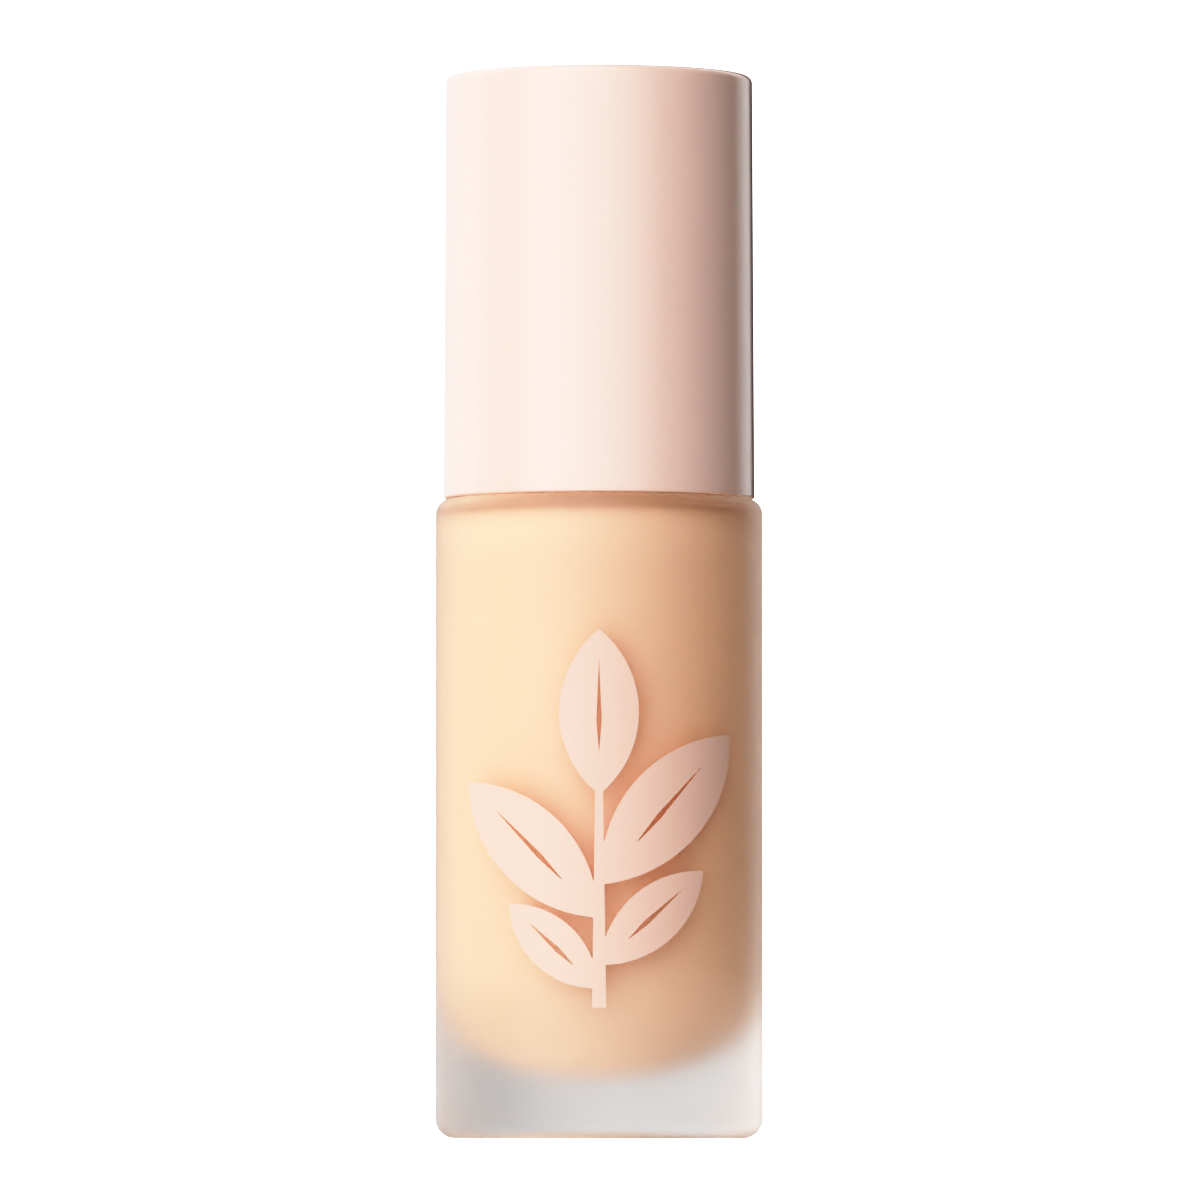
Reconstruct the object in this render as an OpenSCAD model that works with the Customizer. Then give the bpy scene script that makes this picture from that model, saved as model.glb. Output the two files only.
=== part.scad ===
// Foundation bottle: frosted glass cylinder with a printed motif, a screw-on lotion
// pump under a push-fit cap. Millimetres, +Z up, origin at the middle of the base
// plane, the printed side faces -Y.

/* [Bottle] */
// Outside diameter of the glass
bottle_d = 35; // [34:0.5:37]
// Height of the flat shoulder
shoulder_z = 68.4; // [67.4:0.2:69.4]
// Glass wall beside the liquid
wall = 3.8; // [3.2:0.1:4.2]
// Glass above the liquid, under the shoulder
shoulder_t = 1.2; // [1:0.1:3.2]
// Thickness of the glass foot in the middle
foot = 6.4; // [5:0.2:8]
// How far the bowl of the cavity climbs before the wall is straight
bowl_h = 12; // [8:0.5:14]
// Radius round the bottom edge
base_r = 2.1; // [1.2:0.1:3]
// Radius round the shoulder edge
shoulder_r = 1.65; // [1:0.05:2.4]
// Depth of the push-up under the base
pushup = 0.5; // [0.2:0.1:1]

/* [Neck and thread] */
// Root diameter of the neck
neck_d = 15.6; // [15.4:0.1:15.8]
// Bore of the neck
bore_d = 10.6; // [10.4:0.1:11.2]
// Height of the neck above the shoulder
neck_h = 15; // [14.8:0.1:15.2]
// Crest diameter of the neck thread
thread_d = 17.5; // [17.2:0.1:17.6]
// Thread pitch
pitch = 3.175; // [3.175:0.025:3.3]
// Turns of the neck thread
thread_turns = 1.75; // [1.25:0.25:1.75]

/* [Pump] */
// Outside diameter of the pump barrel
barrel_d = 9.2; // [9:0.1:9.3]
// Bore of the pump barrel
barrel_bore = 7.4; // [7.3:0.1:7.5]
// Outside diameter of the dip tube
tube_d = 3.2; // [3:0.1:3.4]
// Gap between the dip tube and the glass floor
tube_gap = 2; // [1:0.5:6]
// Wire diameter of the return spring
wire_d = 0.5; // [0.4:0.05:0.6]
// Coils in the return spring
coils = 7; // [5:1:8]

/* [Actuator] */
// Diameter of the push button
button_d = 15.8; // [15:0.2:16]
// Top of the push button
button_top = 106; // [105:0.5:107]
// Reach of the spout from the axis
spout_reach = 10.8; // [9.4:0.2:11]
// Bore of the spout
spout_bore = 1.8; // [1.4:0.1:2.2]

/* [Cap] */
// Overall height of the closed bottle
overall_h = 113.8; // [112.8:0.2:116]
// Cap diameter at its rim
cap_d = 33.3; // [32.8:0.1:33.6]
// How much narrower the cap is at the top
cap_draft = 0.44; // [0.2:0.02:0.8]
// Radius round the top edge of the cap
cap_top_r = 0.8; // [0.4:0.1:1]
// Gap between the cap rim and the shoulder
cap_gap = 0.05; // [0.05:0.05:0.4]

/* [Print] */
// Height of the printed sprig
motif_h = 40; // [30:1:42]
// Width of the printed sprig
motif_w = 27.6; // [20:0.4:28]
// Height of the middle of the printed sprig
motif_z = 33.8; // [31:0.2:36]
// Thickness of the print
motif_t = 0.05; // [0.05:0.01:0.1]

/* [Hidden] */
fine = 96;
bottle_r = bottle_d / 2;
cav_r = bottle_r - wall;
cav_top = shoulder_z - shoulder_t;
cav_edge = 1;
neck_top = shoulder_z + neck_h;
neck_r = neck_d / 2;
bore_r = bore_d / 2;
barrel_r = barrel_d / 2;
chamber_r = barrel_bore / 2;
tube_r = tube_d / 2;
tube_bore = tube_r - 0.55;
// heights along the pump, each from the gasket upwards or downwards
gasket_top = neck_top + 0.8;
flange_top = gasket_top + 1.0;
turret_top = flange_top + 0.8;
closure_top = turret_top + 1.2;
barrel_bot = neck_top - 21.4;
spigot_bot = barrel_bot - 6;
ball_r = 1.5;
ball_z = barrel_bot + 1.75;
spring_bot = barrel_bot + 4.6;
spring_top = spring_bot + 10.3;
disc_top = spring_top + 0.6;
piston_top = disc_top + 4;
seal_top = piston_top + 0.8;
stem_r = 2.05;
stem_bore = 1.1;
stem_bot = disc_top + 1.5;
stem_top = neck_top + 13.6;
chimney_top = neck_top + 5.4;
sleeve_r = 11.4;
sleeve_top = neck_top + 10.1;
button_r = button_d / 2;
button_bot = neck_top + 7.8;
spout_z = button_top - 5;
cap_r = cap_d / 2;
cap_bot = shoulder_z + cap_gap;
liner_r = 15.2;
liner_top = overall_h - 1.4;
liner_ceiling = liner_top - 1;
skirt_bore = sleeve_r + 0.05;

// ---- shared shapes ----

// A plain ring or disc
module ring(ro, ri, z0, z1) {
    rotate_extrude($fn = fine) translate([ri, z0]) square([ro - ri, z1 - z0]);
}

// Ring whose upper outside edge is rounded
module ring_soft(ro, ri, z0, z1, r) {
    rotate_extrude($fn = fine) {
        translate([ri, z0]) square([ro - ri, z1 - z0 - r]);
        translate([ri, z0]) square([ro - r - ri, z1 - z0]);
        translate([ro - r, z1 - r]) circle(r, $fn = 48);
    }
}

// One helical ridge with a trapezoid section that fades in and out
module ridge(r_root, r_crest, z_mid, turns, root_hw, crest_hw, turn0) {
    n = ceil(turns * 30);
    fade = 7;
    function lift(i) = min(1, 0.04 + min(i, n - i) / fade);
    pts = [for (i = [0:n]) let (a = turn0 + 360 * turns * i / n,
                               z = z_mid + pitch * turns * (i / n - 0.5),
                               rc = r_root + (r_crest - r_root) * lift(i))
           each [[r_root * cos(a), r_root * sin(a), z - root_hw],
                 [rc * cos(a), rc * sin(a), z - crest_hw],
                 [rc * cos(a), rc * sin(a), z + crest_hw],
                 [r_root * cos(a), r_root * sin(a), z + root_hw]]];
    out = r_crest > r_root;
    sides = [for (i = [0:n - 1], k = [0:3]) let (a = 4 * i + k, b = 4 * i + (k + 1) % 4)
             each (out ? [[a, b, b + 4], [a, b + 4, a + 4]]
                       : [[a, b + 4, b], [a, a + 4, b + 4]])];
    e = 4 * n;
    caps = out ? [[0, 3, 2], [0, 2, 1], [e, e + 1, e + 2], [e, e + 2, e + 3]]
               : [[0, 2, 3], [0, 1, 2], [e, e + 2, e + 1], [e, e + 3, e + 2]];
    polyhedron(points = pts, faces = concat(sides, caps), convexity = 6);
}

// Half outline of the cavity, grown outward by g (negative: shrunk)
module cavity_half(g) {
    translate([0, foot + bowl_h]) square([cav_r + g, cav_top - cav_edge - foot - bowl_h]);
    translate([0, foot + bowl_h]) square([cav_r - cav_edge, cav_top + g - foot - bowl_h]);
    translate([cav_r - cav_edge, cav_top - cav_edge]) circle(cav_edge + g, $fn = 64);
    polygon([for (i = [0:16]) let (a = -90 + 90 * i / 16)
                 [(cav_r + g) * cos(a), foot + bowl_h + (bowl_h + g) * sin(a)],
             [cav_r + g, foot + bowl_h + 0.5], [0, foot + bowl_h + 0.5]]);
}

// ---- the bottle and what it holds ----

module bottle() {
    color([0.93, 0.86, 0.80]) difference() {
        union() {
            // body: foot edge and shoulder edge rounded
            rotate_extrude($fn = fine) {
                translate([0, base_r]) square([bottle_r, shoulder_z - shoulder_r - base_r]);
                square([bottle_r - base_r, base_r + 1]);
                translate([bottle_r - base_r, base_r]) circle(base_r, $fn = 64);
                translate([0, shoulder_z - shoulder_r - 1])
                    square([bottle_r - shoulder_r, shoulder_r + 1]);
                translate([bottle_r - shoulder_r, shoulder_z - shoulder_r])
                    circle(shoulder_r, $fn = 64);
            }
            // neck with a softened sealing lip
            ring_soft(neck_r, bore_r - 0.5, shoulder_z - 1, neck_top, 0.5);
            // bead under the thread
            rotate_extrude($fn = fine) translate([neck_r - 0.5, shoulder_z + 1.35])
                circle(0.95, $fn = 32);
            ridge(neck_r - 0.35, thread_d / 2, neck_top - 7.4, thread_turns, 1.0, 0.45, 20);
        }
        // cavity, bore and the shallow push-up
        rotate_extrude($fn = fine) intersection() {
            cavity_half(0);
            square([bottle_r, neck_top]);
        }
        translate([0, 0, cav_top - 1]) cylinder(h = neck_h + 10, r = bore_r, $fn = fine);
        translate([0, 0, -1]) cylinder(h = 1 + pushup, r1 = 13.4 + 1 / pushup * 0.4, r2 = 13, $fn = fine);
    }
}

module foundation_fill() {
    color([0.90, 0.72, 0.60]) difference() {
        rotate_extrude($fn = fine) intersection() {
            cavity_half(-0.03);
            square([bottle_r, neck_top]);
        }
        // room for the pump barrel, its spigot and the dip tube
        translate([0, 0, barrel_bot - 0.05]) cylinder(h = 10, r = barrel_r + 0.05, $fn = fine);
        translate([0, 0, spigot_bot - 0.05]) cylinder(h = 10, r = 2.55, $fn = fine);
        translate([0, 0, foot + tube_gap]) cylinder(h = 80, r = tube_r + 0.05, $fn = fine);
    }
}

// Pointed leaf from p to q, w wide, with a slit along its rib, on the flat plane of the print
module leaf(p, q, w) {
    a = norm(q - p) / 2;
    b = w / 2;
    r = (a * a + b * b) / (2 * b);
    translate((p + q) / 2) rotate(atan2(q[1] - p[1], q[0] - p[0])) difference() {
        intersection() {
            translate([0, r - b]) circle(r, $fn = 180);
            translate([0, b - r]) circle(r, $fn = 180);
        }
        polygon([[-a * 0.5, 0], [-a * 0.1, 0.28], [a * 0.66, 0], [-a * 0.1, -0.28]]);
    }
}

// Leaf sprig: five leaves that take turns up a thin stem
module front_motif() {
    color([0.95, 0.80, 0.74]) intersection() {
        rotate([90, 0, 0]) linear_extrude(30) translate([0, motif_z])
            scale([motif_w / 27.6, motif_h / 40]) {
                leaf([0, 2.5], [0, 20], 8.4);
                leaf([0.2, -7], [13.8, 9], 8.6);
                leaf([-0.1, -10.5], [-13.8, 4], 8);
                leaf([0.1, -15.5], [11, -5.5], 6);
                leaf([-0.1, -18], [-9.5, -9], 5.4);
                polygon([[-0.75, -20], [0.75, -20], [0.4, 4], [-0.4, 4]]);
            }
        ring(bottle_r + motif_t, bottle_r, 1, shoulder_z - 1);
    }
}

// ---- pump ----

module neck_gasket() {
    color([0.93, 0.93, 0.92]) ring(7.6, 5.4, neck_top, gasket_top);
}

module pump_housing() {
    color([0.94, 0.94, 0.93]) difference() {
        union() {
            ring_soft(7.6, 0, gasket_top, flange_top, 0.2);
            translate([0, 0, barrel_bot]) cylinder(h = flange_top - 0.5 - barrel_bot, r = barrel_r, $fn = fine);
            translate([0, 0, spigot_bot]) cylinder(h = 7, r = 2.5, $fn = fine);
        }
        // working bore, spring seat, ball chamber, seat and tube socket
        translate([0, 0, spring_bot]) cylinder(h = 40, r = chamber_r, $fn = fine);
        translate([0, 0, spring_bot - 1]) cylinder(h = 2, r = 1.2, $fn = fine);
        translate([0, 0, barrel_bot + 1.4]) cylinder(h = 2.6, r = 1.8, $fn = fine);
        translate([0, 0, barrel_bot + 0.5]) cylinder(h = 0.9, r1 = 0.9, r2 = 1.8, $fn = fine);
        translate([0, 0, spigot_bot + 1]) cylinder(h = 8, r = 0.9, $fn = fine);
        translate([0, 0, spigot_bot - 1]) cylinder(h = 6.8, r = tube_r, $fn = fine);
        // vent hole through the wall of the barrel
        translate([0, 0, neck_top - 3.2]) rotate([0, 90, 0]) cylinder(h = 8, r = 0.35, $fn = 24);
    }
}

module dip_tube() {
    color([0.92, 0.93, 0.93]) ring(tube_r, tube_bore, foot + tube_gap, spigot_bot + 5.8);
}

module check_ball() {
    color([0.72, 0.73, 0.75]) translate([0, 0, ball_z]) sphere(ball_r, $fn = 48);
}

module return_spring() {
    r = 2.6;
    w = wire_d / 2;
    k = 24;
    n = coils * k;
    h = spring_top - spring_bot - wire_d;
    // closed, ground ends: the first and last coils climb one wire each
    function climb(t) = t < 1 ? t * wire_d
        : t > coils - 1 ? h - (coils - t) * wire_d
        : wire_d + (h - 2 * wire_d) * (t - 1) / (coils - 2);
    pts = [for (i = [0:n]) let (t = i / k, z = spring_bot + w + climb(t)) for (j = [0:7])
           let (q = 45 * j) [(r + w * cos(q)) * cos(360 * t), (r + w * cos(q)) * sin(360 * t),
                             z + w * sin(q) * 0.98]];
    sides = [for (i = [0:n - 1], j = [0:7]) let (a = 8 * i + j, b = 8 * i + (j + 1) % 8)
             each [[a, b, b + 8], [a, b + 8, a + 8]]];
    e = 8 * n;
    caps = [[for (j = [7:-1:0]) j], [for (j = [0:7]) e + j]];
    color([0.70, 0.71, 0.72]) polyhedron(points = pts, faces = concat(sides, caps), convexity = 10);
}

module piston_rod() {
    color([0.92, 0.93, 0.93]) {
        difference() {
            ring(3.1, 0, spring_top, disc_top);
            for (a = [0:90:270]) rotate(a + 45) translate([2.75, -0.5, spring_top - 1]) cube([1, 1, 3]);
        }
        translate([0, 0, spring_top - 2.4]) cylinder(h = 2.6, r1 = 1.3, r2 = 2.1, $fn = fine);
        translate([0, 0, disc_top - 0.1]) cylinder(h = 6.6, r = 0.85, $fn = fine);
        // fins that hold the rod in the stem and leave the product a way past
        for (a = [0:120:240]) rotate(a) translate([0.6, -0.2, disc_top + 4.4]) cube([0.49, 0.4, 1.9]);
    }
}

module piston() {
    color([0.90, 0.91, 0.92]) difference() {
        union() {
            ring(2.9, 0, disc_top, piston_top);
            // two wiping lips
            rotate_extrude($fn = fine) polygon([[2.6, disc_top], [chamber_r - 0.05, disc_top],
                [chamber_r - 0.05, disc_top + 0.5], [2.9, disc_top + 1.5], [2.6, disc_top + 1.5]]);
            rotate_extrude($fn = fine) polygon([[2.6, piston_top - 1.5], [2.9, piston_top - 1.5],
                [chamber_r - 0.05, piston_top - 0.5], [chamber_r - 0.05, piston_top], [2.6, piston_top]]);
        }
        translate([0, 0, stem_bot]) cylinder(h = 10, r = stem_r, $fn = fine);
        translate([0, 0, disc_top - 1]) cylinder(h = 5, r = 1.35, $fn = fine);
    }
}

module stem() {
    color([0.94, 0.94, 0.93]) difference() {
        ring_soft(stem_r, 0.3, stem_bot, stem_top, 0.25);
        translate([0, 0, stem_bot - 1]) cylinder(h = 60, r = stem_bore, $fn = fine);
    }
}

module stem_seal() {
    color([0.86, 0.87, 0.88]) ring(chamber_r - 0.05, stem_r + 0.04, piston_top, seal_top);
}

module turret() {
    color([0.95, 0.95, 0.94]) difference() {
        union() {
            ring_soft(7.4, 0, flange_top, turret_top, 0.2);
            translate([0, 0, seal_top]) cylinder(h = flange_top - seal_top + 0.2, r = chamber_r - 0.05, $fn = fine);
            ring_soft(4.9, 0, flange_top, chimney_top, 0.4);
        }
        translate([0, 0, seal_top - 1]) cylinder(h = 20, r = stem_r + 0.08, $fn = fine);
        // counterbore that the button boss dips into
        translate([0, 0, turret_top + 0.6]) cylinder(h = 20, r = 3.9, $fn = fine);
    }
}

// ---- collar ----

module closure() {
    color([0.93, 0.80, 0.74]) {
        difference() {
            union() {
                rotate_extrude($fn = fine) difference() {
                    translate([5.2, shoulder_z + 1.2]) square([5.1, closure_top - shoulder_z - 1.2]);
                    translate([0, shoulder_z - 1]) square([9.05, turret_top + 0.04 - shoulder_z + 1]);
                }
                ridge(9.3, 8.05 + 0.1, neck_top - 7.4 + pitch / 2, 1.5, 0.75, 0.35, 20);
            }
        }
        // grip ribs that lock the sleeve
        for (a = [0:30:330]) rotate(a) translate([10.1, -0.3, shoulder_z + 3])
            cube([0.35, 0.6, closure_top - shoulder_z - 5]);
    }
}

module collar_sleeve() {
    color([0.93, 0.79, 0.73]) difference() {
        rotate_extrude($fn = fine) {
            translate([8.3, shoulder_z + 0.5]) square([sleeve_r - 8.3, sleeve_top - 0.6 - shoulder_z - 0.5]);
            translate([8.3, shoulder_z + 0.5]) square([sleeve_r - 0.6 - 8.3, sleeve_top - shoulder_z - 0.5]);
            translate([sleeve_r - 0.6, sleeve_top - 0.6]) circle(0.6, $fn = 48);
        }
        translate([0, 0, shoulder_z - 1]) cylinder(h = closure_top - shoulder_z + 1, r = 10.5, $fn = fine);
        translate([0, 0, closure_top - 1]) cylinder(h = sleeve_top - 1.2 - closure_top + 1, r = 9.9, $fn = fine);
    }
}

// ---- push button ----

module actuator_shell() {
    color([0.94, 0.81, 0.75]) difference() {
        rotate_extrude($fn = fine) {
            translate([0, button_bot]) square([button_r, button_top - 1.2 - button_bot]);
            translate([0, button_bot]) square([button_r - 1.2, button_top - button_bot]);
            translate([button_r - 1.2, button_top - 1.2]) circle(1.2, $fn = 48);
        }
        // hollow from below
        translate([0, 0, button_bot - 1]) cylinder(h = button_top - 1.9 - button_bot + 1, r = button_r - 1, $fn = fine);
        // dish for the fingertip
        translate([0, 0, button_top + 34.4]) sphere(35, $fn = 96);
        // window for the spout
        translate([0, 0, spout_z]) rotate([90, 0, 0]) cylinder(h = 12, r = 1.95, $fn = 48);
    }
}

module actuator_core() {
    color([0.95, 0.83, 0.77]) difference() {
        union() {
            translate([0, 0, neck_top + 9.6]) cylinder(h = button_top - 1.9 - neck_top - 9.6, r = 3.4, $fn = fine);
            translate([0, 0, button_top - 2.9]) cylinder(h = 1, r = button_r - 1.05, $fn = fine);
            for (a = [0:60:300]) rotate(a + 30) translate([3, -0.35, neck_top + 12.6])
                cube([button_r - 1.15 - 3, 0.7, button_top - 2.4 - neck_top - 12.6]);
            translate([0, 0, spout_z]) rotate([90, 0, 0]) cylinder(h = spout_reach, r = 1.9, $fn = 48);
        }
        translate([0, 0, neck_top + 8]) cylinder(h = stem_top - neck_top - 8, r = stem_r + 0.02, $fn = fine);
        translate([0, 0, neck_top + 12]) cylinder(h = spout_z - neck_top - 12, r = 1.1, $fn = fine);
        // channel along the spout
        translate([0, 1.2, spout_z]) rotate([90, 0, 0]) cylinder(h = 20, r = spout_bore / 2, $fn = 48);
    }
}

// ---- cap ----

module overcap_shell() {
    t = 1.2;
    color([0.97, 0.84, 0.78]) difference() {
        union() {
            translate([0, 0, cap_bot]) cylinder(h = overall_h - cap_top_r - cap_bot, r1 = cap_r, r2 = cap_r - cap_draft / 2, $fn = fine);
            ring_soft(cap_r - cap_draft / 2, 0, overall_h - cap_top_r - 0.02, overall_h, cap_top_r);
        }
        translate([0, 0, cap_bot - 1]) cylinder(h = liner_top - cap_bot + 1, r = liner_r, $fn = fine);
    }
}

module overcap_liner() {
    color([0.95, 0.90, 0.87]) {
        difference() {
            rotate_extrude($fn = fine) translate([0, cap_bot + 1.05]) square([liner_r, liner_top - cap_bot - 1.05]);
            translate([0, 0, cap_bot - 1]) cylinder(h = liner_ceiling - cap_bot + 1, r = liner_r - 1, $fn = fine);
        }
        // inner skirt that grips the collar sleeve
        ring(skirt_bore + 0.9, skirt_bore, cap_bot + 1.45, neck_top + 1.6);
        ring(liner_r - 0.5, skirt_bore, neck_top + 0.6, neck_top + 1.6);
        for (a = [0:45:315]) rotate(a + 22.5) translate([skirt_bore + 0.5, -0.4, cap_bot + 2])
            cube([liner_r - 0.5 - skirt_bore - 0.5, 0.8, neck_top + 1 - cap_bot - 2]);
    }
}

bottle();
foundation_fill();
front_motif();
neck_gasket();
pump_housing();
dip_tube();
check_ball();
return_spring();
piston_rod();
piston();
stem();
stem_seal();
turret();
closure();
collar_sleeve();
actuator_shell();
actuator_core();
overcap_liner();
overcap_shell();
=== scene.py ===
# Foundation bottle: looks, floor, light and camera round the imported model. Metres, +Z up, front towards -Y.
import bpy, bmesh, math
import numpy as np
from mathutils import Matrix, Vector


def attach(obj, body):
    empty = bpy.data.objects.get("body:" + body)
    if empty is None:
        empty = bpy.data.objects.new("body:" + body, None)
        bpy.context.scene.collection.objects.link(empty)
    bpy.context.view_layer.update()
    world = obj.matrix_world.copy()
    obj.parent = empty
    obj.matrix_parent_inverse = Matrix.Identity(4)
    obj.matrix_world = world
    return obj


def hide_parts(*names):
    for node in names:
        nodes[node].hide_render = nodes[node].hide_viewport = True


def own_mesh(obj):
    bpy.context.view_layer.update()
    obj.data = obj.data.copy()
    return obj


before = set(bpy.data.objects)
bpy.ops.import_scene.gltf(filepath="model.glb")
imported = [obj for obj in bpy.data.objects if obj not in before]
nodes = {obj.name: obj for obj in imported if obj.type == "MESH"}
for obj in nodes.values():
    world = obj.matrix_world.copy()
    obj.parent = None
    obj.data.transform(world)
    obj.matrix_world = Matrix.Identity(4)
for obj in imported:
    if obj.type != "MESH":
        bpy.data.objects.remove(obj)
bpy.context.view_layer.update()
MM = 0.001
scene = bpy.context.scene
coll = scene.collection


# ------------------------------------------------------------------ mesh tools
def arc(cx, cz, r, a0, a1, n, rz=None):
    """Points on an arc in the (r, z) half plane, degrees."""
    rz = r if rz is None else rz
    return [(cx + r * math.cos(math.radians(a0 + (a1 - a0) * i / n)),
             cz + rz * math.sin(math.radians(a0 + (a1 - a0) * i / n))) for i in range(n + 1)]


def line(p, q, n):
    return [(p[0] + (q[0] - p[0]) * i / n, p[1] + (q[1] - p[1]) * i / n) for i in range(n + 1)]


def clean(points):
    out = [points[0]]
    for p in points[1:]:
        if math.hypot(p[0] - out[-1][0], p[1] - out[-1][1]) > 1e-4:
            out.append(p)
    if math.hypot(out[0][0] - out[-1][0], out[0][1] - out[-1][1]) < 1e-4:
        out.pop()
    return out


def finish_mesh(name, verts, faces, sharp=40.0, mats=(), face_mat=None):
    me = bpy.data.meshes.new(name)
    me.from_pydata([tuple(v) for v in verts], [], faces)
    me.update()
    bm = bmesh.new()
    bm.from_mesh(me)
    bmesh.ops.recalc_face_normals(bm, faces=bm.faces)
    bm.to_mesh(me)
    bm.free()
    me.shade_smooth()
    me.set_sharp_from_angle(angle=math.radians(sharp))
    for m in mats:
        me.materials.append(m)
    if face_mat is not None:
        me.polygons.foreach_set("material_index", np.array(face_mat, np.int32))
    ob = bpy.data.objects.new(name, me)
    coll.objects.link(ob)
    return ob


def lathe(name, profile, segs=192, closed=True, bump=None, sharp=40.0, mats=(), pick=None):
    """Revolves a closed (r, z) outline in mm round Z. bump(r, z, a) may move a point outward, in mm.
    pick(r, z) gives the material index of a band from the middle of its edge."""
    pts = clean(profile)
    n = len(pts)
    verts, ring = [], []
    for r, z in pts:
        if r < 1e-6:
            ring.append([len(verts)])
            verts.append((0, 0, z * MM))
        else:
            ids = []
            for k in range(segs):
                a = 2 * math.pi * k / segs
                rr = r + (bump(r, z, a) if bump else 0.0)
                ids.append(len(verts))
                verts.append((rr * MM * math.cos(a), rr * MM * math.sin(a), z * MM))
            ring.append(ids)
    faces, fm = [], []
    for i in range(n if closed else n - 1):
        j = (i + 1) % n
        a, b = ring[i], ring[j]
        if len(a) == 1 and len(b) == 1:
            continue
        m = pick((pts[i][0] + pts[j][0]) / 2, (pts[i][1] + pts[j][1]) / 2) if pick else 0
        for k in range(segs):
            l = (k + 1) % segs
            if len(a) == 1:
                faces.append((a[0], b[k], b[l]))
            elif len(b) == 1:
                faces.append((a[k], b[0], a[l]))
            else:
                faces.append((a[k], b[k], b[l], a[l]))
            fm.append(m)
    return finish_mesh(name, verts, faces, sharp, mats, fm if pick else None)


# ------------------------------------------------------------------ materials
def new_mat(name):
    m = bpy.data.materials.new(name)
    m.use_nodes = True
    nt = m.node_tree
    nt.nodes.clear()
    out = nt.nodes.new("ShaderNodeOutputMaterial")
    bsdf = nt.nodes.new("ShaderNodeBsdfPrincipled")
    nt.links.new(bsdf.outputs[0], out.inputs["Surface"])
    return m, nt, bsdf


def noise(nt, scale, detail=4.0, rough=0.55, stretch=None, seed=0.0):
    tc = nt.nodes.new("ShaderNodeTexCoord")
    mp = nt.nodes.new("ShaderNodeMapping")
    mp.inputs["Location"].default_value = (seed, seed * 0.7, seed * 1.3)
    mp.inputs["Scale"].default_value = stretch or (1, 1, 1)
    nz = nt.nodes.new("ShaderNodeTexNoise")
    nz.inputs["Scale"].default_value = scale
    nz.inputs["Detail"].default_value = detail
    nz.inputs["Roughness"].default_value = rough
    nt.links.new(tc.outputs["Object"], mp.inputs["Vector"])
    nt.links.new(mp.outputs[0], nz.inputs["Vector"])
    return nz


def ramp(nt, src, lo, hi):
    """Blends two colours by a noise output, around its middle."""
    r = nt.nodes.new("ShaderNodeValToRGB")
    r.color_ramp.elements[0].position = 0.3
    r.color_ramp.elements[0].color = (*lo, 1)
    r.color_ramp.elements[1].position = 0.7
    r.color_ramp.elements[1].color = (*hi, 1)
    nt.links.new(src, r.inputs["Fac"])
    return r


def span(nt, src, lo, hi):
    m = nt.nodes.new("ShaderNodeMapRange")
    m.inputs["From Min"].default_value = 0.3
    m.inputs["From Max"].default_value = 0.7
    m.inputs["To Min"].default_value = lo
    m.inputs["To Max"].default_value = hi
    nt.links.new(src, m.inputs["Value"])
    return m


def bumps(nt, bsdf, parts, distance=0.0001):
    """parts: list of (noise node, strength). Chained bump nodes."""
    prev = None
    for nz, s in parts:
        b = nt.nodes.new("ShaderNodeBump")
        b.inputs["Strength"].default_value = s
        b.inputs["Distance"].default_value = distance
        nt.links.new(nz.outputs["Fac"], b.inputs["Height"])
        if prev is not None:
            nt.links.new(prev.outputs[0], b.inputs["Normal"])
        prev = b
    nt.links.new(prev.outputs[0], bsdf.inputs["Normal"])


def shade(c, k):
    return tuple(min(1.0, v * k) for v in c)


def plastic(name, color, rough=(0.25, 0.32), vary=0.012, coat=0.0, coat_rough=0.05, sss=0.0,
            sss_radius=(0.0012, 0.0006, 0.0004), grain=0.03, peel=0.02, metallic=0.0, ior=1.49,
            transmission=0.0, grain_scale=9000.0):
    m, nt, b = new_mat(name)
    cloud = noise(nt, 60.0, 3.0, seed=3.1)
    nt.links.new(ramp(nt, cloud.outputs["Fac"], shade(color, 1 - vary), shade(color, 1 + vary)).outputs[0],
                 b.inputs["Base Color"])
    nt.links.new(span(nt, noise(nt, 240.0, 4.0, seed=7.7).outputs["Fac"], *rough).outputs[0],
                 b.inputs["Roughness"])
    b.inputs["IOR"].default_value = ior
    b.inputs["Metallic"].default_value = metallic
    b.inputs["Coat Weight"].default_value = coat
    b.inputs["Coat Roughness"].default_value = coat_rough
    b.inputs["Transmission Weight"].default_value = transmission
    if sss:
        b.inputs["Subsurface Weight"].default_value = sss
        b.inputs["Subsurface Radius"].default_value = sss_radius
        b.inputs["Subsurface Scale"].default_value = 1.0
    layers = [(noise(nt, 300.0, 2.0, seed=1.3), peel)]
    if grain:
        layers.append((noise(nt, grain_scale, 3.0, 0.7), grain))
    bumps(nt, b, layers)
    return m


def frosted(name, color, rough, grain):
    m, nt, b = new_mat(name)
    cloud = noise(nt, 90.0, 3.0, seed=5.5)
    nt.links.new(ramp(nt, cloud.outputs["Fac"], shade(color, 0.992), shade(color, 1.0)).outputs[0],
                 b.inputs["Base Color"])
    nt.links.new(span(nt, noise(nt, 500.0, 5.0, 0.7, seed=9.0).outputs["Fac"], rough[0], rough[1]).outputs[0],
                 b.inputs["Roughness"])
    b.inputs["IOR"].default_value = 1.5
    b.inputs["Transmission Weight"].default_value = 1.0
    if grain:
        bumps(nt, b, [(noise(nt, 5200.0, 4.0, 0.75, seed=2.0), grain)], 0.00005)
    return m


M_FROST = frosted("glass_etched", (1.0, 1.0, 1.0), (0.42, 0.48), 0.10)
M_CLEAR = frosted("glass_inside", (1.0, 1.0, 1.0), (0.02, 0.05), 0.0)

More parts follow.
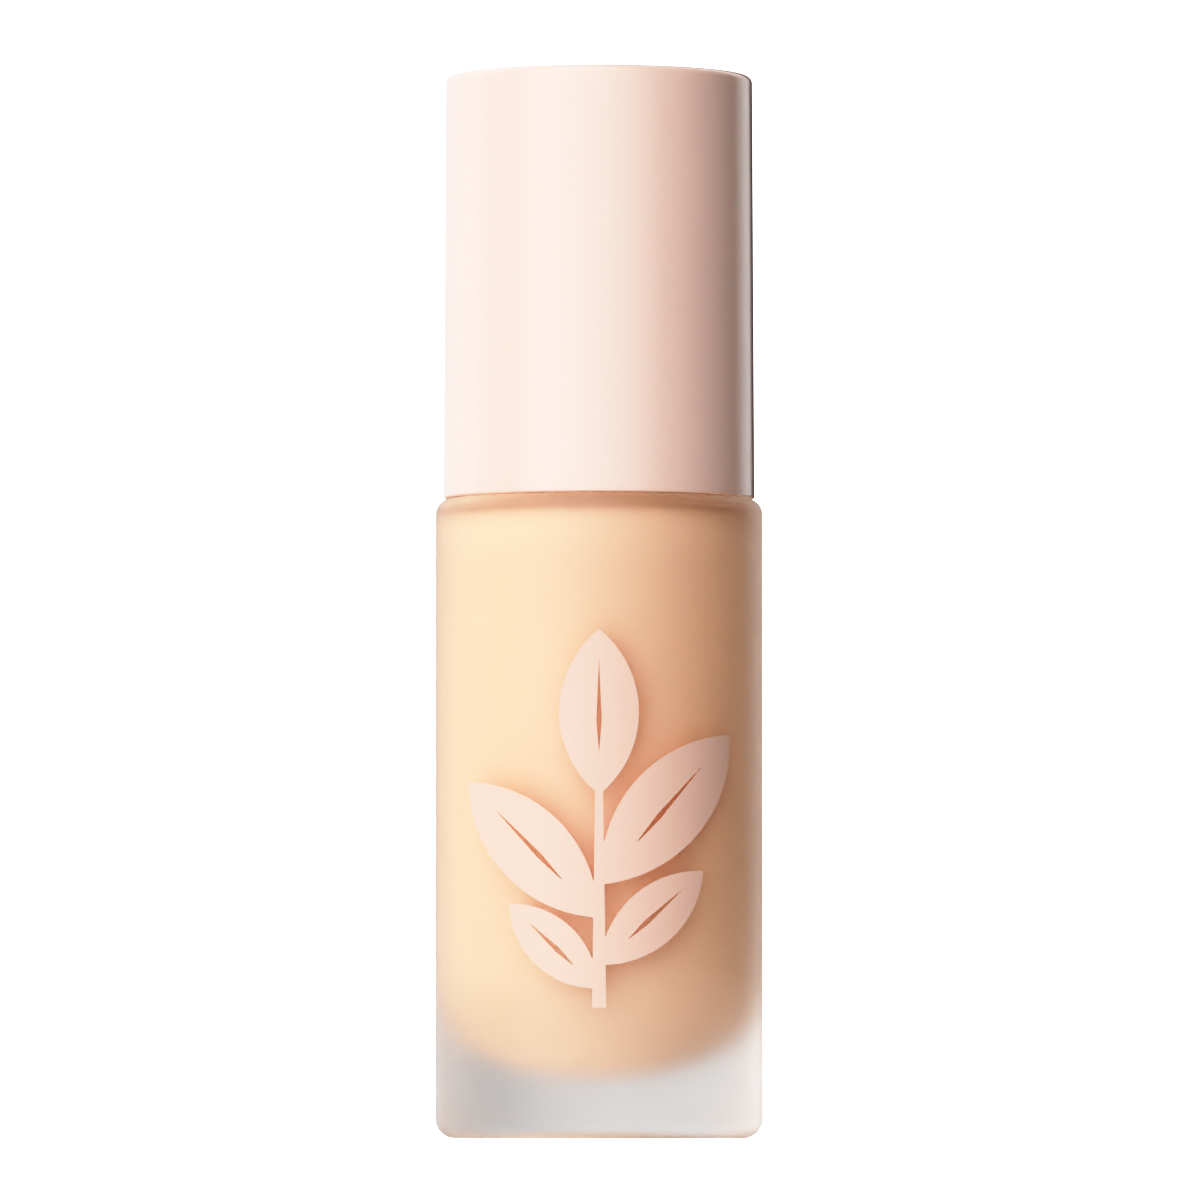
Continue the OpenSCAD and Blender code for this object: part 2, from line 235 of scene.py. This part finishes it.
LIQ = (0.99, 0.668, 0.478)
m, nt, b = new_mat("liquid_foundation")
swirl = noise(nt, 45.0, 5.0, 0.6, stretch=(1, 1, 0.35), seed=4.4)
nt.links.new(ramp(nt, swirl.outputs["Fac"], shade(LIQ, 0.992), shade(LIQ, 1.008)).outputs[0], b.inputs["Base Color"])
nt.links.new(span(nt, noise(nt, 150.0, 3.0, seed=6.1).outputs["Fac"], 0.42, 0.5).outputs[0], b.inputs["Roughness"])
b.inputs["Specular IOR Level"].default_value = 0.08
bumps(nt, b, [(noise(nt, 120.0, 3.0, seed=8.0), 0.02)])
M_LIQ = m

M_PRINT = plastic("print_ink", (0.89, 0.60, 0.50), rough=(0.42, 0.52), vary=0.01, grain=0.05, peel=0.02)
M_CAP = plastic("cap_pink", (0.955, 0.688, 0.598), rough=(0.20, 0.27), vary=0.008, coat=0.5, coat_rough=0.06,
                sss=0.12, grain=0, peel=0.015)
M_CAPIN = plastic("cap_inner", (0.92, 0.85, 0.82), rough=(0.4, 0.5), grain=0.05)
M_COLLAR = plastic("collar_pink", (0.93, 0.70, 0.60), rough=(0.24, 0.28), vary=0.004, coat=0.4, grain=0,
                   peel=0.008)
M_BUTTON = plastic("button_pink", (0.93, 0.71, 0.61), rough=(0.26, 0.30), vary=0.004, coat=0.35, grain=0,
                   peel=0.008)
M_PP = plastic("natural_pp", (0.90, 0.90, 0.88), rough=(0.34, 0.44), grain=0.02)
M_TUBE = plastic("tube_pe", (0.86, 0.88, 0.89), rough=(0.36, 0.46), grain=0.02)
M_GASKET = plastic("gasket", (0.86, 0.86, 0.84), rough=(0.7, 0.82), vary=0.03, grain=0.25, grain_scale=5000.0)
M_STEEL = plastic("spring_steel", (0.62, 0.63, 0.65), rough=(0.22, 0.34), vary=0.04, metallic=1.0, grain=0.05)
M_BALL = plastic("ball_steel", (0.70, 0.71, 0.72), rough=(0.05, 0.10), vary=0.02, metallic=1.0, grain=0.01)

# ------------------------------------------------------------------ bottle glass
R, SH, WALL = 17.5, 68.4, 3.8
NECK, BORE, TOP = 7.8, 5.3, 83.4
CAV, CTOP, FOOT, BOWL, EDGE = 13.7, 67.2, 6.4, 12.0, 1.0
PITCH, TURNS, TMID, CREST = 3.175, 1.75, 76.0, 8.75


def smooth(t):
    t = max(0.0, min(1.0, t))
    return t * t * (3 - 2 * t)


def thread_out(r, z, a):
    """Height of the neck thread above the root, in mm."""
    if not (abs(r - NECK) < 0.02 and 71.5 < z < 80.6):
        return 0.0
    best = 0.0
    a0 = math.degrees(a) - 20.0
    for k in range(-1, 3):
        t = (a0 + 360.0 * k) / (360.0 * TURNS)
        if -0.001 <= t <= 1.001:
            zc = TMID + PITCH * TURNS * (t - 0.5)
            lift = smooth(min(t, 1 - t) * TURNS * 30 / 7 + 0.02)
            d = abs(z - zc)
            h = 1.0 if d < 0.42 else 1.0 - (d - 0.42) / 0.5
            best = max(best, (CREST - NECK) * lift * smooth(h))
    return best


outer = ([(0, 0.5)] + line((0.0, 0.5), (12.6, 0.5), 8) + arc(12.6, 0.3, 0.2, 90, 30, 3) + [(13.35, 0.04), (13.55, 0.0)]
         + line((13.55, 0), (R - 2.1, 0), 3) + arc(R - 2.1, 2.1, 2.1, -90, 0, 16)
         + line((R, 2.1), (R, SH - 1.65), 40) + arc(R - 1.65, SH - 1.65, 1.65, 0, 90, 14)
         + line((R - 1.65, SH), (NECK + 0.75, SH), 6) + arc(NECK + 0.75, SH + 0.75, 0.75, 270, 200, 5)
         + arc(NECK - 0.5, SH + 1.35, 0.95, -32, 58, 9)
         + line((NECK, SH + 2.3), (NECK, TOP - 0.6), 72) + arc(NECK - 0.6, TOP - 0.6, 0.6, 0, 90, 7)
         + line((NECK - 0.6, TOP), (BORE + 0.3, TOP), 2) + arc(BORE + 0.3, TOP - 0.3, 0.3, 90, 180, 5))
inner = (line((BORE, TOP - 0.3), (BORE, CTOP + 0.6), 12) + arc(BORE + 0.6, CTOP + 0.6, 0.6, 180, 270, 6)
         + line((BORE + 0.6, CTOP), (CAV - EDGE, CTOP), 4) + arc(CAV - EDGE, CTOP - EDGE, EDGE, 90, 0, 14)
         + line((CAV, CTOP - EDGE), (CAV, FOOT + BOWL), 30)
         + arc(0, FOOT + BOWL, CAV, 0, -90, 40, rz=BOWL))


def glass_pick(r, z):
    if z > 0.6 and r < BORE + 0.2 and z > CTOP - 0.1:
        return 1
    if z > FOOT - 0.01 and z < CTOP + 0.7 and r <= CAV + 0.001:
        return 1
    return 0


glass = lathe("bottle_glass", outer + inner, 256, bump=thread_out, sharp=55, mats=(M_FROST, M_CLEAR), pick=glass_pick)
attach(glass, "glass_body")
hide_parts("bottle")

# ------------------------------------------------------------------ liquid, in optical contact with the glass
G = 0.03
liquid_profile = (arc(0, FOOT + BOWL, CAV + G, -90, 0, 40, rz=BOWL + G) + line((CAV + G, FOOT + BOWL), (CAV + G, CTOP - EDGE), 30)
                  + arc(CAV - EDGE, CTOP - EDGE, EDGE + G, 0, 90, 14) + line((CAV - EDGE, CTOP + G), (BORE + 0.1, CTOP + G), 4)
                  + [(BORE - 0.02, CTOP - 0.1), (4.65, CTOP - 0.25)]
                  + line((4.65, CTOP - 0.3), (4.65, 61.95), 3) + line((4.65, 61.95), (2.55, 61.95), 2)
                  + line((2.55, 61.9), (2.55, 55.95), 3) + line((2.55, 55.95), (1.65, 55.95), 1)
                  + line((1.65, 55.9), (1.65, 8.45), 12) + [(1.6, 8.4), (0, 8.4)])
liquid = lathe("liquid", liquid_profile, 192, sharp=60, mats=(M_LIQ,))
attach(liquid, "glass_body")
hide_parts("foundation_fill")

# ------------------------------------------------------------------ print on the front: a leaf sprig
MOT_W, MOT_H, MOT_Z, MOT_T = 27.6, 40.0, 33.8, 0.045
LEAVES = [((0, 2.5), (0, 20), 8.4), ((0.2, -7), (13.8, 9), 8.6), ((-0.1, -10.5), (-13.8, 4), 8.0),
          ((0.1, -15.5), (11, -5.5), 6.0), ((-0.1, -18), (-9.5, -9), 5.4)]


def sprig_field(x, z):
    """Signed field of the printed leaf sprig on the flat plane, positive inside. Arrays in mm."""
    z = z - MOT_Z
    best = np.full(np.shape(x), -9.0)
    for p, q, w in LEAVES:
        dx, dz = q[0] - p[0], q[1] - p[1]
        ln = math.hypot(dx, dz)
        a_, b_ = ln / 2, w / 2
        r = (a_ * a_ + b_ * b_) / (2 * b_)
        u = ((x - (p[0] + q[0]) / 2) * dx + (z - (p[1] + q[1]) / 2) * dz) / ln
        v = (-(x - (p[0] + q[0]) / 2) * dz + (z - (p[1] + q[1]) / 2) * dx) / ln
        blade = r - np.maximum(np.hypot(u, v - (r - b_)), np.hypot(u, v + (r - b_)))
        rib = np.interp(u, [-a_ * 0.5, -a_ * 0.1, a_ * 0.66], [0.0, 0.28, 0.0], left=-1.0, right=-1.0) - np.abs(v)
        best = np.maximum(best, np.minimum(blade, -rib))
    stem = np.interp(z, [-20, 4], [0.75, 0.4], left=-1.0, right=-1.0) - np.abs(x)
    return np.maximum(best, stem)


def march(field, x0, x1, z0, z1, step):
    """Triangles of the region where field > 0, cut smoothly along its edge. Returns 2D points and polygons."""
    xs = np.arange(x0, x1 + step, step)
    zs = np.arange(z0, z1 + step, step)
    X, Z = np.meshgrid(xs, zs)
    F = field(X, Z)
    pts, index, polys = [], {}, []

    def grid(i, j):
        k = ("g", i, j)
        if k not in index:
            index[k] = len(pts)
            pts.append((xs[i], zs[j]))
        return index[k]

    def edge(i0, j0, i1, j1):
        k = ("e",) + (min((i0, j0), (i1, j1))) + (max((i0, j0), (i1, j1)))
        if k not in index:
            f0, f1 = F[j0, i0], F[j1, i1]
            t = f0 / (f0 - f1)
            index[k] = len(pts)
            pts.append((xs[i0] + (xs[i1] - xs[i0]) * t, zs[j0] + (zs[j1] - zs[j0]) * t))
        return index[k]

    for j in range(len(zs) - 1):
        for i in range(len(xs) - 1):
            corners = [(i, j), (i + 1, j), (i + 1, j + 1), (i, j + 1)]
            f = [F[b, a] for a, b in corners]
            if all(v <= 0 for v in f):
                continue
            poly = []
            for k in range(4):
                a, b = corners[k], corners[(k + 1) % 4]
                fa, fb = f[k], f[(k + 1) % 4]
                if fa > 0:
                    poly.append(grid(*a))
                if (fa > 0) != (fb > 0):
                    poly.append(edge(*a, *b))
            if len(poly) >= 3:
                polys.append(poly)
    return pts, polys


def wrap_print(name, field, box, step, r_in, r_out, mat):
    pts, polys = march(field, *box, step)
    n = len(pts)
    verts = []
    for r in (r_in, r_out):
        for x, z in pts:
            s = max(-0.999, min(0.999, x / R))
            a = math.asin(s)
            verts.append((r * math.sin(a) * MM, -r * math.cos(a) * MM, z * MM))
    count = {}
    for p in polys:
        for k in range(len(p)):
            e = (p[k], p[(k + 1) % len(p)])
            count[tuple(sorted(e))] = count.get(tuple(sorted(e)), 0) + 1
    faces = [tuple(v + n for v in p) for p in polys] + [tuple(reversed(p)) for p in polys]
    for p in polys:
        for k in range(len(p)):
            a, b_ = p[k], p[(k + 1) % len(p)]
            if count[tuple(sorted((a, b_)))] == 1:
                faces.append((a, b_, b_ + n, a + n))
    return finish_mesh(name, verts, faces, 50, (mat,))


motif = wrap_print("front_print", sprig_field, (-14.1, 14.1, 13.8, 54.2), 0.1, R + 0.004, R + MOT_T, M_PRINT)
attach(motif, "glass_body")
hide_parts("front_motif")

# ------------------------------------------------------------------ cap
H, CR, CB, CT = 113.8, 16.65, 68.45, 16.43
cap_profile = (line((0, H), (CT - 0.8, H), 10) + arc(CT - 0.8, H - 0.8, 0.8, 90, 0, 12)
               + line((CT, H - 0.8), (CR, CB + 0.22), 40) + arc(CR - 0.22, CB + 0.22, 0.22, 0, -90, 6)
               + line((CR - 0.22, CB), (15.35, CB), 2) + arc(15.35, CB + 0.15, 0.15, 270, 180, 4)
               + line((15.2, CB + 0.2), (15.2, H - 1.4), 20) + line((15.2, H - 1.4), (0, H - 1.4), 6))
cap = lathe("cap_shell", cap_profile, 256, sharp=50, mats=(M_CAP,))
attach(cap, "cap")
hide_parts("overcap_shell")

# ------------------------------------------------------------------ collar skin
sleeve_profile = (line((8.5, 93.5), (10.8, 93.5), 2) + arc(10.8, 92.9, 0.6, 90, 0, 8) + line((11.4, 92.9), (11.4, 69.1), 16)
                  + arc(11.2, 69.1, 0.2, 0, -90, 4) + line((11.2, 68.9), (10.6, 68.9), 1) + [(10.5, 69.0)]
                  + line((10.5, 69.1), (10.5, 87.2), 10) + line((10.5, 87.2), (9.9, 87.2), 1)
                  + line((9.9, 87.2), (9.9, 92.3), 4) + line((9.9, 92.3), (8.3, 92.3), 1) + line((8.3, 92.3), (8.3, 93.3), 2)
                  + arc(8.5, 93.3, 0.2, 180, 90, 4))
sleeve = lathe("collar_skin", sleeve_profile, 192, sharp=50, mats=(M_COLLAR,))
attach(sleeve, "collar")
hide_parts("collar_sleeve")


# ------------------------------------------------------------------ return spring
def spring_mesh(name, mean_r, wire, z0, z1, coils, mat, per=48, sides=14):
    w = wire / 2
    h = z1 - z0 - wire
    verts, faces = [], []

    def climb(t):
        if t < 1:
            return t * wire
        if t > coils - 1:
            return h - (coils - t) * wire
        return wire + (h - 2 * wire) * (t - 1) / (coils - 2)

    n = coils * per
    for i in range(n + 1):
        t = i / per
        a = 2 * math.pi * t
        z = z0 + w + climb(t)
        for j in range(sides):
            q = 2 * math.pi * j / sides
            r = mean_r + w * math.cos(q)
            verts.append((r * math.cos(a) * MM, r * math.sin(a) * MM, (z + w * math.sin(q) * 0.97) * MM))
    for i in range(n):
        for j in range(sides):
            k = (j + 1) % sides
            faces.append((i * sides + j, i * sides + k, (i + 1) * sides + k, (i + 1) * sides + j))
    faces.append(tuple(range(sides))[::-1])
    faces.append(tuple(n * sides + j for j in range(sides)))
    return finish_mesh(name, verts, faces, 60, (mat,))


spring = spring_mesh("spring_coil", 2.6, 0.5, 66.6, 76.9, 7, M_STEEL)
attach(spring, "pump")
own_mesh(spring)
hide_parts("return_spring")

# ------------------------------------------------------------------ carried-over pieces
KEEP = {"neck_gasket": M_GASKET, "pump_housing": M_PP, "dip_tube": M_TUBE, "check_ball": M_BALL, "piston_rod": M_PP,
        "piston": M_TUBE, "stem": M_PP, "stem_seal": M_GASKET, "turret": M_PP, "closure": M_COLLAR,
        "actuator_shell": M_BUTTON, "actuator_core": M_BUTTON, "overcap_liner": M_CAPIN}
for name, mat in KEEP.items():
    o = nodes[name]
    if len(o.material_slots):
        for s in o.material_slots:
            s.material = mat
    else:
        o.data.materials.append(mat)

# ------------------------------------------------------------------ floor
me = bpy.data.meshes.new("floor")
S = 6.0
me.from_pydata([(-S, -S, -2e-5), (S, -S, -2e-5), (S, S, -2e-5), (-S, S, -2e-5)], [], [(0, 1, 2, 3)])
floor = bpy.data.objects.new("floor", me)
coll.objects.link(floor)
fm = bpy.data.materials.new("floor_paper")
fm.use_nodes = True
nt = fm.node_tree
nt.nodes.clear()
out = nt.nodes.new("ShaderNodeOutputMaterial")
dif = nt.nodes.new("ShaderNodeBsdfDiffuse")
dif.inputs["Color"].default_value = (0.82, 0.82, 0.82, 1)
emi = nt.nodes.new("ShaderNodeEmission")
emi.inputs["Color"].default_value = (1, 1, 1, 1)
FLOOR_GLOW = 0.9
emi.inputs["Strength"].default_value = FLOOR_GLOW
add = nt.nodes.new("ShaderNodeAddShader")
nt.links.new(dif.outputs[0], add.inputs[0])
nt.links.new(emi.outputs[0], add.inputs[1])
far = nt.nodes.new("ShaderNodeEmission")
far.inputs["Strength"].default_value = 1.7
tc = nt.nodes.new("ShaderNodeTexCoord")
ln = nt.nodes.new("ShaderNodeVectorMath")
ln.operation = "LENGTH"
nt.links.new(tc.outputs["Object"], ln.inputs[0])
mr = nt.nodes.new("ShaderNodeMapRange")
mr.interpolation_type = "SMOOTHSTEP"
mr.inputs["From Min"].default_value = 0.06
mr.inputs["From Max"].default_value = 0.3
nt.links.new(ln.outputs["Value"], mr.inputs["Value"])
mix = nt.nodes.new("ShaderNodeMixShader")
nt.links.new(mr.outputs[0], mix.inputs["Fac"])
nt.links.new(add.outputs[0], mix.inputs[1])
nt.links.new(far.outputs[0], mix.inputs[2])
lpf = nt.nodes.new("ShaderNodeLightPath")
cam_mix = nt.nodes.new("ShaderNodeMixShader")
dim = nt.nodes.new("ShaderNodeBsdfTransparent")
nt.links.new(lpf.outputs["Is Camera Ray"], cam_mix.inputs["Fac"])
nt.links.new(dim.outputs[0], cam_mix.inputs[1])
nt.links.new(mix.outputs[0], cam_mix.inputs[2])
nt.links.new(cam_mix.outputs[0], out.inputs["Surface"])
me.materials.append(fm)

# ------------------------------------------------------------------ studio light in the world
world = bpy.data.worlds.new("studio")
scene.world = world
world.use_nodes = True
nt = world.node_tree
nt.nodes.clear()
wout = nt.nodes.new("ShaderNodeOutputWorld")
tc = nt.nodes.new("ShaderNodeTexCoord")
sep = nt.nodes.new("ShaderNodeSeparateXYZ")
nt.links.new(tc.outputs["Generated"], sep.inputs[0])


def wmath(op, a, b_=None):
    n = nt.nodes.new("ShaderNodeMath")
    n.operation = op
    for i, v in enumerate((a, b_)):
        if v is None:
            continue
        if isinstance(v, (int, float)):
            n.inputs[i].default_value = v
        else:
            nt.links.new(v, n.inputs[i])
    return n.outputs[0]


def wstep(src, a, b_):
    n = nt.nodes.new("ShaderNodeMapRange")
    n.interpolation_type = "SMOOTHSTEP"
    n.inputs["From Min"].default_value = a
    n.inputs["From Max"].default_value = b_
    nt.links.new(src, n.inputs["Value"])
    return n.outputs[0]


azim = wmath("MULTIPLY", wmath("ARCTAN2", sep.outputs["X"], wmath("MULTIPLY", sep.outputs["Y"], -1.0)), 180 / math.pi)
elev = wmath("MULTIPLY", wmath("ARCSINE", sep.outputs["Z"]), 180 / math.pi)


# Brightness round the horizon: a broad softbox from the left to the front, a white sweep behind on the left,
# a black flag on the right and a narrow rim light behind it. Azimuth in degrees, 0 towards the camera, + to the right.
LIGHT = [(-180, 0.45), (-165, 0.84), (-150, 0.88), (-130, 1.02), (-115, 1.20), (-100, 0.85), (-85, 0.40), (-72, 0.30),
         (-60, 0.75), (-45, 1.60), (-35, 1.75), (-22, 1.50), (-5, 1.18), (12, 1.08), (22, 0.88), (33, 0.50), (44, 0.12),
         (52, 0.0), (118, 0.0), (126, 0.25), (134, 0.72), (143, 0.95), (151, 0.90), (157, 0.20), (163, 0.0), (174, 0.0), (180, 0.40)]
# The same room as the glass passes it on: the sweep behind the bottle is even and pale.
THROUGH = [(-180, 0.52), (-150, 0.58), (-125, 0.68), (-110, 1.30), (-95, 1.60), (-80, 1.25), (-72, 1.02), (-60, 1.15),
           (-45, 1.95), (-35, 1.98), (-22, 1.85), (-5, 1.45), (12, 1.25), (22, 0.90), (33, 0.42), (44, 0.06), (52, 0.0),
           (98, 0.0), (110, 0.18), (125, 0.36), (150, 0.40), (165, 0.44), (180, 0.52)]


def horizon(points):
    fc = nt.nodes.new("ShaderNodeFloatCurve")
    cv = fc.mapping.curves[0]
    cv.points[0].location = (0.0, points[0][1] / 2)
    cv.points[1].location = (1.0, points[-1][1] / 2)
    for x, y in points[1:-1]:
        cv.points.new(x / 360 + 0.5, y / 2)
    for p in cv.points:
        p.handle_type = "AUTO_CLAMPED"
    fc.mapping.update()
    nt.links.new(wmath("ADD", wmath("MULTIPLY", azim, 1 / 360), 0.5), fc.inputs["Value"])
    return fc.outputs[0]


lp = nt.nodes.new("ShaderNodeLightPath")
pick = nt.nodes.new("ShaderNodeMix")
pick.data_type = "FLOAT"
nt.links.new(lp.outputs["Is Transmission Ray"], pick.inputs[0])
nt.links.new(horizon(LIGHT), pick.inputs[2])
nt.links.new(horizon(THROUGH), pick.inputs[3])
tilt = wmath("ADD", wmath("MULTIPLY", wstep(elev, -50, 50), 0.5), 0.75)
total = wmath("MULTIPLY", wmath("MULTIPLY", pick.outputs[0], 2.0), tilt)
light = nt.nodes.new("ShaderNodeBackground")
light.inputs["Color"].default_value = (1, 1, 1, 1)
nt.links.new(total, light.inputs["Strength"])
white = nt.nodes.new("ShaderNodeBackground")
white.inputs["Color"].default_value = (1, 1, 1, 1)
white.inputs["Strength"].default_value = 1.7
wmix = nt.nodes.new("ShaderNodeMixShader")
nt.links.new(lp.outputs["Is Camera Ray"], wmix.inputs["Fac"])
nt.links.new(light.outputs[0], wmix.inputs[1])
nt.links.new(white.outputs[0], wmix.inputs[2])
nt.links.new(wmix.outputs[0], wout.inputs["Surface"])
world.cycles.sampling_method = "MANUAL"
world.cycles.sample_map_resolution = 512

# ------------------------------------------------------------------ camera at the viewpoint of the photograph
cam_data = bpy.data.cameras.new("camera")
cam = bpy.data.objects.new("camera", cam_data)
coll.objects.link(cam)
scene.camera = cam
cam_data.sensor_width = 36.0
cam_data.lens = 370.5
cam_data.clip_start, cam_data.clip_end = 0.01, 50.0
cam.location = (0.0001, -1.322, 0.0023)
aim = Vector((0.0001, 0.0, 0.0576))
cam.rotation_mode = "QUATERNION"
cam.rotation_quaternion = (aim - cam.location).to_track_quat("-Z", "Y")

# ------------------------------------------------------------------ colour management and light bounces
vs = scene.view_settings
scene.display_settings.display_device = "sRGB"
vs.view_transform = "Standard"
vs.look = "None"
vs.exposure = 0.0
vs.gamma = 1.0
vs.use_curve_mapping = True
cm = vs.curve_mapping
WHITE = 1.6
cm.white_level = (WHITE, WHITE, WHITE)
cm.black_level = (0, 0, 0)
cm.use_clip = True
TONE = [(0.0, 0.0), (0.08, 0.045), (0.16, 0.125), (0.24, 0.235), (0.33, 0.36), (0.45, 0.54), (0.60, 0.74),
        (0.73, 0.86), (0.88, 0.94), (1.0, 0.985), (1.25, 1.0), (1.6, 1.0)]
c = cm.curves[3]
while len(c.points) > 2:
    c.points.remove(c.points[1])
c.points[0].location = (TONE[0][0] / WHITE, TONE[0][1])
c.points[1].location = (TONE[-1][0] / WHITE, TONE[-1][1])
for x, y in TONE[1:-1]:
    c.points.new(x / WHITE, y)
for p in c.points:
    p.handle_type = "AUTO_CLAMPED"
cm.update()

cy = scene.cycles
cy.max_bounces = 28
cy.diffuse_bounces = 12
cy.glossy_bounces = 12
cy.transmission_bounces = 14
cy.transparent_max_bounces = 8
cy.caustics_reflective = True
cy.caustics_refractive = True
cy.blur_glossy = 0.3
cy.sample_clamp_indirect = 4.0
